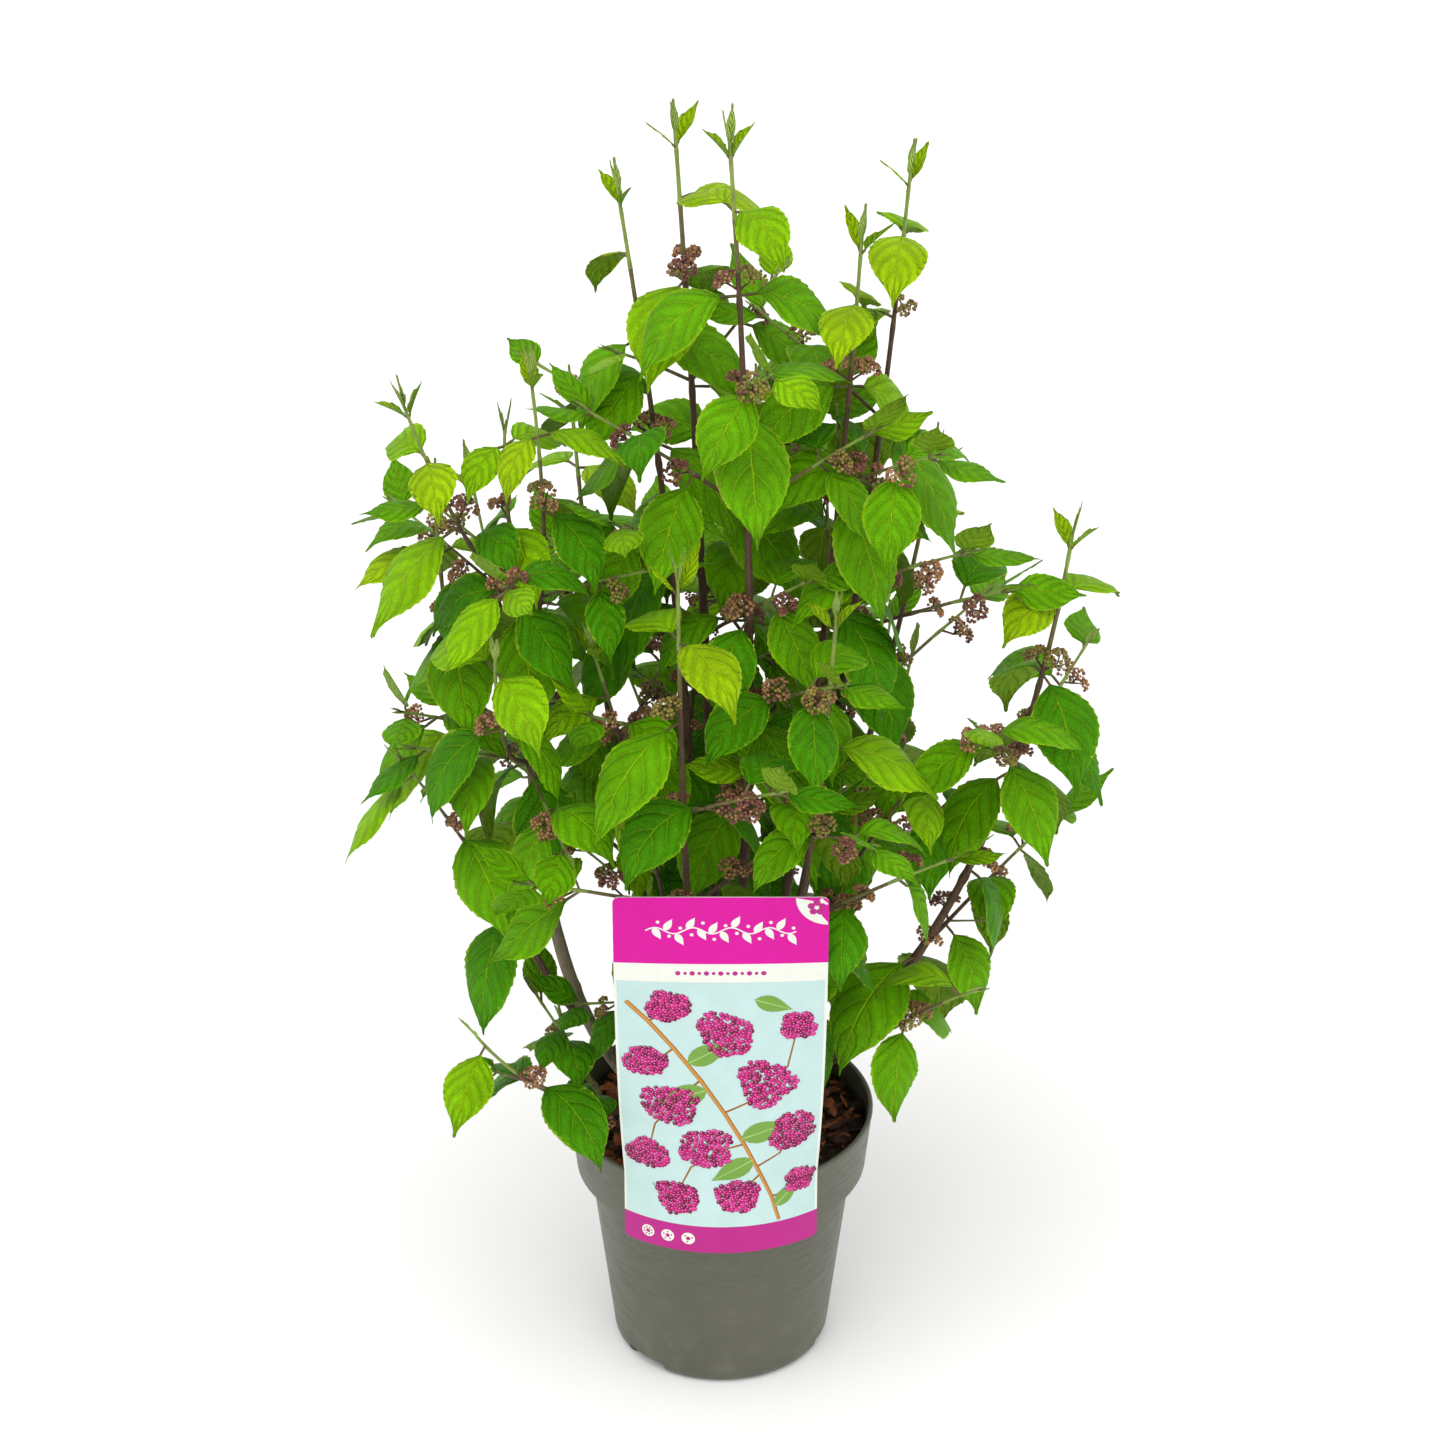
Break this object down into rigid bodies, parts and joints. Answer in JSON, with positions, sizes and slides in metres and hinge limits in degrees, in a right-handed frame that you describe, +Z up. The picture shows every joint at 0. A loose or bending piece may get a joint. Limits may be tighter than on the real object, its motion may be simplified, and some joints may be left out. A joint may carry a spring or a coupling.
{
  "type": "potted beautyberry shrub",
  "caption": "Leafy beautyberry shrub with upright canes in a round nursery pot, a picture label hooked over the rim.",
  "frame": {"origin": "centre of the pot's flat underside, at the level that the pot stands on", "axes": "+Z up through the shrub, -Y towards the side with the label, +X to the right when the label is faced"},
  "size_m": [0.4666, 0.4084, 0.8189],
  "materials": {
    "pot_plastic": "satin grey-green moulded plastic",
    "bark_mulch": "dark compost under coarse bark chips",
    "card": "printed plastic card, satin",
    "grey_bark": "grey-brown old bark with fine ridges",
    "young_bark": "dark purple-brown young bark with pale lenticels",
    "foliage": "fresh green leaves, slightly glossy"
  },
  "bodies": {
    "root": {"pot": "pot_plastic", "bark_topped_soil": "bark_mulch", "plant_label": "card", "root_crown": "grey_bark", "cane_left_pruned": "grey_bark", "cane_outer_left": "young_bark", "cane_top_left": "young_bark", "cane_tallest": "young_bark", "cane_top_middle": "young_bark", "cane_inner_right": "young_bark", "cane_top_right": "young_bark", "cane_arching_right": "young_bark", "cane_front_left": "young_bark", "cane_front_right": "young_bark", "cane_back_left": "young_bark", "cane_back_middle": "young_bark", "cane_back_right": "young_bark", "leaves_outer_left": "foliage", "leaves_top_left": "foliage", "leaves_tallest": "foliage", "leaves_top_middle": "foliage", "leaves_inner_right": "foliage", "leaves_top_right": "foliage", "leaves_arching_right": "foliage", "leaves_front_left": "foliage", "leaves_front_right": "foliage", "leaves_back_left": "foliage", "leaves_back_middle": "foliage", "leaves_back_right": "foliage", "shoot_left_leader": "foliage", "shoot_left_high": "foliage", "shoot_left_inner": "foliage", "shoot_left_front": "foliage", "shoot_left_back": "foliage", "shoot_inner_low": "foliage", "shoot_low_left": "foliage", "shoot_low_right": "foliage", "shoot_outer_left": "foliage", "shoot_inner_left": "foliage", "shoot_inner_right": "foliage", "shoot_back_low": "foliage", "shoot_back_right": "foliage"}
  },
  "joints": []
}
